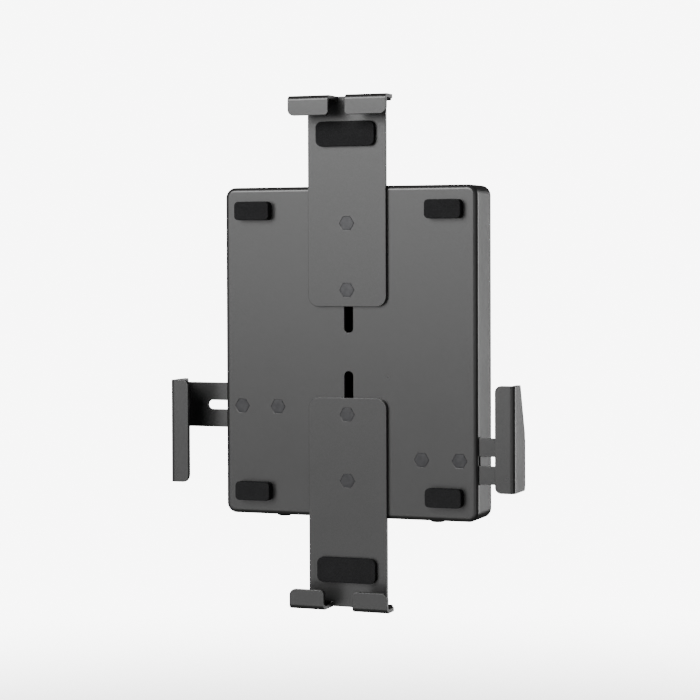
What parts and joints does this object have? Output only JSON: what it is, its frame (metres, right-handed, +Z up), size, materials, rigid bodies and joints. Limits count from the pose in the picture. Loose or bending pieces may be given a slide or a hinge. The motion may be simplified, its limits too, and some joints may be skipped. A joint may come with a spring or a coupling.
{
  "type": "tablet wall mount",
  "caption": "Wall mount of folded steel: a shallow tray on a wall plate carries sliding, hooked brackets, lined with soft pads, that close round the edges of a tablet.",
  "frame": {"origin": "middle of the wall plate's hole squares, on its back face", "axes": "+X to the right seen from the front, +Y back into the wall, +Z up"},
  "size_m": [0.1756, 0.0382, 0.246],
  "materials": {
    "charcoal_coat": "fine matt powder coat",
    "black_foam": "matt closed-cell foam",
    "zinc_steel": "bright zinc plate",
    "black_screw": "black oxide, satin"
  },
  "bodies": {
    "base": {"wall_plate": "charcoal_coat", "wall_plate_nuts": "zinc_steel", "tray": "charcoal_coat", "tray_bumpers": "black_foam", "tray_lock_screws": "black_screw", "side_clamp_studs": "black_screw", "side_clamp_plates": "zinc_steel", "side_clamp_nuts": "zinc_steel"},
    "top": {"top_bracket": "charcoal_coat", "top_lip_pads": "black_foam", "top_shelf_pads": "black_foam", "top_arm_pad": "black_foam", "top_studs": "black_screw", "top_clamp_plate": "zinc_steel", "top_nuts": "zinc_steel"},
    "bottom": {"bottom_bracket": "charcoal_coat", "bottom_lip_pads": "black_foam", "bottom_shelf_pads": "black_foam", "bottom_arm_pad": "black_foam", "bottom_studs": "black_screw", "bottom_clamp_plate": "zinc_steel", "bottom_nuts": "zinc_steel"},
    "right": {"right_bracket": "charcoal_coat", "right_lip_pad": "black_foam", "right_wall_pad": "black_foam"},
    "left": {"left_bracket": "charcoal_coat", "left_lip_pad": "black_foam", "left_wall_pad": "black_foam"}
  },
  "joints": [
    {"name": "top_slide", "type": "slide", "parent": "base", "child": "top", "axis": [0, 0, 1], "range_m": [-0.0185, 0.0038]},
    {"name": "bottom_slide", "type": "slide", "parent": "base", "child": "bottom", "axis": [0, 0, -1], "range_m": [-0.0185, 0.0038]},
    {"name": "right_slide", "type": "slide", "parent": "base", "child": "right", "axis": [1, 0, 0], "range_m": [-0.0174, 0.0045]},
    {"name": "left_slide", "type": "slide", "parent": "base", "child": "left", "axis": [-1, 0, 0], "range_m": [-0.0174, 0.0045]}
  ]
}
